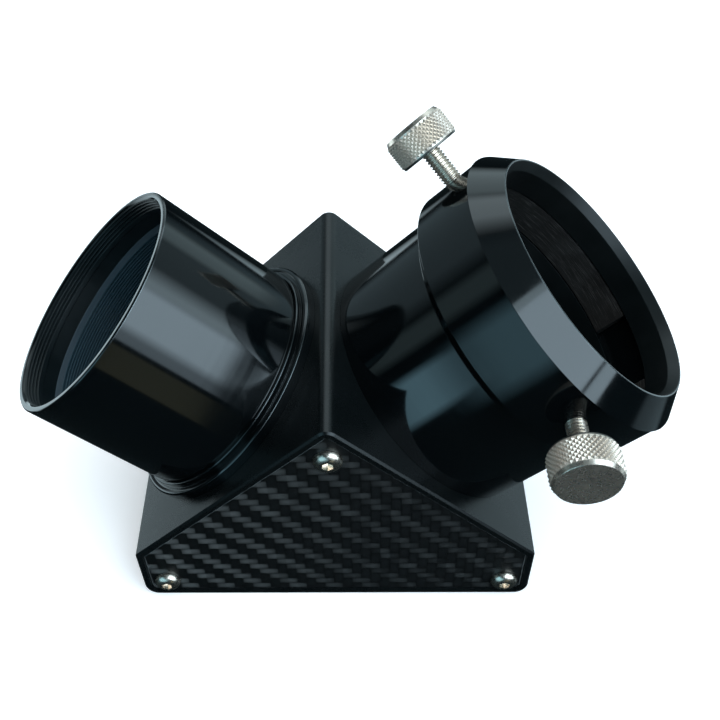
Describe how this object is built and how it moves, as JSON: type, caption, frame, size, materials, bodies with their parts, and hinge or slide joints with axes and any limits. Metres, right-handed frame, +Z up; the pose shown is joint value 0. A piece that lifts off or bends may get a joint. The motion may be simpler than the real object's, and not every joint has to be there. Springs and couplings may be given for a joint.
{
  "type": "telescope star diagonal",
  "caption": "Right-angle mirror star diagonal with a two-inch nosepiece, carbon-fibre side plates and an eyepiece holder with two thumbscrews.",
  "frame": {"origin": "centre of the base plate's underside, straight below the middle of the mirror's face", "axes": "+Z up, +Y away from the front side plate along the ridge, +X towards the eyepiece side; the nosepiece leaves at 45 degrees up to -X and the eyepiece holder at 45 degrees up to +X"},
  "size_m": [0.1365, 0.0769, 0.0896],
  "materials": {
    "housing_anodised": "satin",
    "tube_anodised": "gloss",
    "carbon_fibre": "semi-gloss",
    "bright_steel": "polished",
    "thumbscrew_steel": "satin",
    "mirror_coating": "polished",
    "black_rubber": "matte",
    "dark_bronze": "satin",
    "white_nylon": "matte"
  },
  "bodies": {
    "diagonal_body": {"housing": "housing_anodised", "front_side_plate": "carbon_fibre", "back_side_plate": "carbon_fibre", "base_plate": "housing_anodised", "mirror": "mirror_coating", "adapter_ring": "tube_anodised", "nosepiece": "tube_anodised", "eyepiece_holder": "tube_anodised", "compression_ring": "dark_bronze", "mirror_pad_1": "black_rubber", "mirror_pad_2": "black_rubber", "mirror_pad_3": "black_rubber", "front_screw_top": "bright_steel", "front_screw_left": "bright_steel", "front_screw_right": "bright_steel", "back_screw_top": "bright_steel", "back_screw_left": "bright_steel", "back_screw_right": "bright_steel", "base_screw_1": "bright_steel", "base_screw_2": "bright_steel", "base_screw_3": "bright_steel", "base_screw_4": "bright_steel"},
    "upper_tip": {"upper_thumbscrew_tip": "white_nylon"},
    "upper_screw": {"upper_thumbscrew": "thumbscrew_steel"},
    "lower_tip": {"lower_thumbscrew_tip": "white_nylon"},
    "lower_screw": {"lower_thumbscrew": "thumbscrew_steel"}
  },
  "joints": [
    {"name": "upper_screw_travel", "type": "slide", "parent": "diagonal_body", "child": "upper_tip", "axis": [-0.6124, 0.5, 0.6124], "range_m": [-0.0009, 0.00189]},
    {"name": "upper_screw_turn", "type": "hinge", "parent": "upper_tip", "child": "upper_screw", "pos_m": [0.04419, 0, 0.05759], "axis": [-0.6124, 0.5, 0.6124], "range_deg": [-460, 970]},
    {"name": "lower_screw_travel", "type": "slide", "parent": "diagonal_body", "child": "lower_tip", "axis": [0, -1, 0], "range_m": [-0.00009, 0.00269]},
    {"name": "lower_screw_turn", "type": "hinge", "parent": "lower_tip", "child": "lower_screw", "pos_m": [0.04419, 0, 0.05759], "axis": [0, -1, 0], "range_deg": [-48, 1381]}
  ],
  "couplings": [
    {"joint": "upper_screw_travel", "follows": "upper_screw_turn", "m_per_rad": 0.00011141},
    {"joint": "lower_screw_travel", "follows": "lower_screw_turn", "m_per_rad": 0.00011141}
  ]
}
